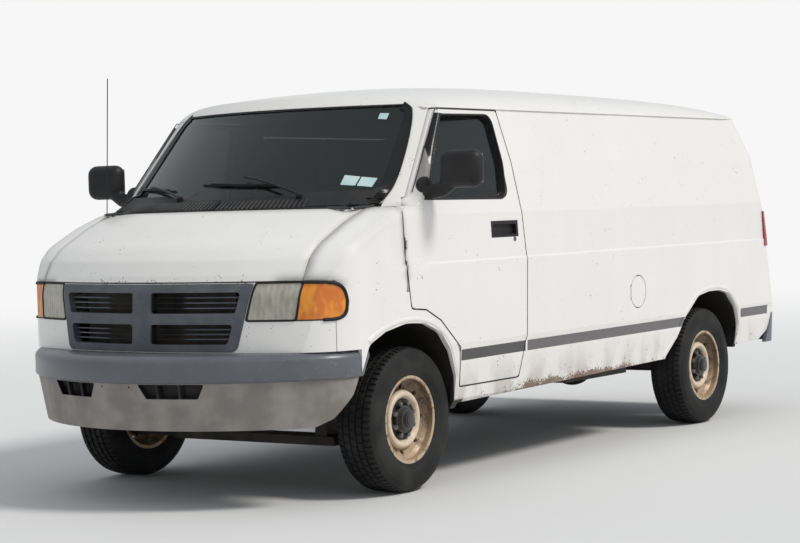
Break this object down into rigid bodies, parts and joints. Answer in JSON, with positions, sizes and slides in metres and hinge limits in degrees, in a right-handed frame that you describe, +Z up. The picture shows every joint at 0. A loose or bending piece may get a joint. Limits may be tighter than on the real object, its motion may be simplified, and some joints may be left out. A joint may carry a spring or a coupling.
{
  "type": "cargo van",
  "caption": "Full-size panel van with long wheelbase: hinged side, rear and front doors, lifting hood, steered and rolling wheels, hollow cab and load space.",
  "frame": {"origin": "on the ground under the middle of the van", "axes": "+X to the front, +Y to the left side, +Z up"},
  "size_m": [5.4298, 2.5616, 2.1201],
  "materials": {
    "white_paint": "semi-gloss, weathered",
    "dark_trim": "matte",
    "grille_plastic": "matte",
    "bumper_grey": "satin",
    "valance_grey": "matte, dusty",
    "window_glass": "dark tint",
    "lamp_clear": "cloudy",
    "lamp_amber": "ribbed",
    "lamp_red": "ribbed",
    "tyre_rubber": "worn",
    "wheel_steel": "rusty tan",
    "hub_steel": "rusty dark",
    "chassis_steel": "dusty black",
    "floor_paint": "scuffed",
    "engine_iron": "dull",
    "seat_cloth": "worn",
    "dash_plastic": "grained"
  },
  "bodies": {
    "van": {"antenna": "dark_trim", "body_side_left": "white_paint", "body_side_right": "white_paint", "cowl_panel": "dark_trim", "dashboard": "dash_plastic", "drivetrain": "chassis_steel", "engine": "engine_iron", "exhaust": "chassis_steel", "fenders": "white_paint", "floor_pan": "floor_paint", "frame_rails": "chassis_steel", "front_bumper": "bumper_grey", "front_suspension": "chassis_steel", "front_valance": "valance_grey", "fuel_tank": "chassis_steel", "grille": "grille_plastic", "headlamps": "lamp_clear", "lamp_gaskets": "dark_trim", "leaf_springs": "chassis_steel", "nose_panel": "white_paint", "radiator": "chassis_steel", "rear_axle": "chassis_steel", "rear_bumper": "bumper_grey", "roof": "white_paint", "seats": "seat_cloth", "tail_lamps": "lamp_red", "turn_lamps": "lamp_amber", "windshield": "window_glass", "windshield_frame": "white_paint"},
    "wheel_fl": {"tyre_front_left": "tyre_rubber", "wheel_front_left": "wheel_steel"},
    "wheel_fr": {"tyre_front_right": "tyre_rubber", "wheel_front_right": "wheel_steel"},
    "wheel_rl": {"tyre_rear_left": "tyre_rubber", "wheel_rear_left": "wheel_steel"},
    "wheel_rr": {"tyre_rear_right": "tyre_rubber", "wheel_rear_right": "wheel_steel"},
    "knuckle_l": {"knuckle_left": "hub_steel"},
    "knuckle_r": {"knuckle_right": "hub_steel"},
    "front_door_l": {"door_front_left": "white_paint", "glass_front_left": "window_glass", "mirror_left": "dark_trim", "handle_left": "dark_trim"},
    "front_door_r": {"door_front_right": "white_paint", "glass_front_right": "window_glass", "mirror_right": "dark_trim", "handle_right": "dark_trim"},
    "cargo_leaf_front": {"cargo_door_front": "white_paint"},
    "cargo_leaf_rear": {"cargo_door_rear": "white_paint"},
    "rear_leaf_l": {"rear_door_left": "white_paint", "rear_glass_left": "window_glass"},
    "rear_leaf_r": {"rear_door_right": "white_paint", "rear_glass_right": "window_glass"},
    "hood_lid": {"hood": "white_paint"},
    "fuel_lid": {"fuel_flap": "white_paint"},
    "steering_rim": {"steering_wheel": "dash_plastic"}
  },
  "joints": [
    {"name": "steer_left", "type": "hinge", "parent": "van", "child": "knuckle_l", "pos_m": [1.615, 0.832, 0.357], "axis": [0, 0, 1], "range_deg": [-30, 30]},
    {"name": "steer_right", "type": "hinge", "parent": "van", "child": "knuckle_r", "pos_m": [1.615, -0.832, 0.357], "axis": [0, 0, 1], "range_deg": [-30, 30]},
    {"name": "wheel_front_left_spin", "type": "hinge", "parent": "knuckle_l", "child": "wheel_fl", "pos_m": [1.615, 0.842, 0.357], "axis": [0, 1, 0], "continuous": true},
    {"name": "wheel_front_right_spin", "type": "hinge", "parent": "knuckle_r", "child": "wheel_fr", "pos_m": [1.615, -0.842, 0.357], "axis": [0, 1, 0], "continuous": true},
    {"name": "wheel_rear_left_spin", "type": "hinge", "parent": "van", "child": "wheel_rl", "pos_m": [-1.626, 0.854, 0.357], "axis": [0, 1, 0], "continuous": true},
    {"name": "wheel_rear_right_spin", "type": "hinge", "parent": "van", "child": "wheel_rr", "pos_m": [-1.626, -0.854, 0.357], "axis": [0, 1, 0], "continuous": true},
    {"name": "front_door_left", "type": "hinge", "parent": "van", "child": "front_door_l", "pos_m": [1.694, 0.995, 1.2], "axis": [0, 0, -1], "range_deg": [0, 65]},
    {"name": "front_door_right", "type": "hinge", "parent": "van", "child": "front_door_r", "pos_m": [1.694, -0.995, 1.2], "axis": [0, 0, 1], "range_deg": [0, 65]},
    {"name": "cargo_door_front", "type": "hinge", "parent": "van", "child": "cargo_leaf_front", "pos_m": [0.441, -0.995, 1], "axis": [0, 0, 1], "range_deg": [0, 90]},
    {"name": "cargo_door_rear", "type": "hinge", "parent": "van", "child": "cargo_leaf_rear", "pos_m": [-0.841, -0.995, 1], "axis": [0, 0, -1], "range_deg": [0, 90]},
    {"name": "rear_door_left", "type": "hinge", "parent": "van", "child": "rear_leaf_l", "pos_m": [-2.613, 0.829, 0.69], "axis": [-0.0892, 0, -0.996], "range_deg": [0, 100]},
    {"name": "rear_door_right", "type": "hinge", "parent": "van", "child": "rear_leaf_r", "pos_m": [-2.613, -0.829, 0.69], "axis": [0.0892, 0, 0.996], "range_deg": [0, 100]},
    {"name": "hood", "type": "hinge", "parent": "van", "child": "hood_lid", "pos_m": [1.789, 0, 1.394], "axis": [0, -1, 0], "range_deg": [0, 50]},
    {"name": "fuel_flap", "type": "hinge", "parent": "van", "child": "fuel_lid", "pos_m": [-0.597, 0.994, 0.863], "axis": [0, 0, -1], "range_deg": [0, 95]},
    {"name": "steering_wheel", "type": "hinge", "parent": "van", "child": "steering_rim", "pos_m": [1.263, 0.43, 1.29], "axis": [-0.8, 0, 0.6], "range_deg": [-450, 450]}
  ],
  "couplings": [
    {"joint": "steer_right", "follows": "steer_left", "ratio": 1},
    {"joint": "steering_wheel", "follows": "steer_left", "ratio": 15}
  ]
}
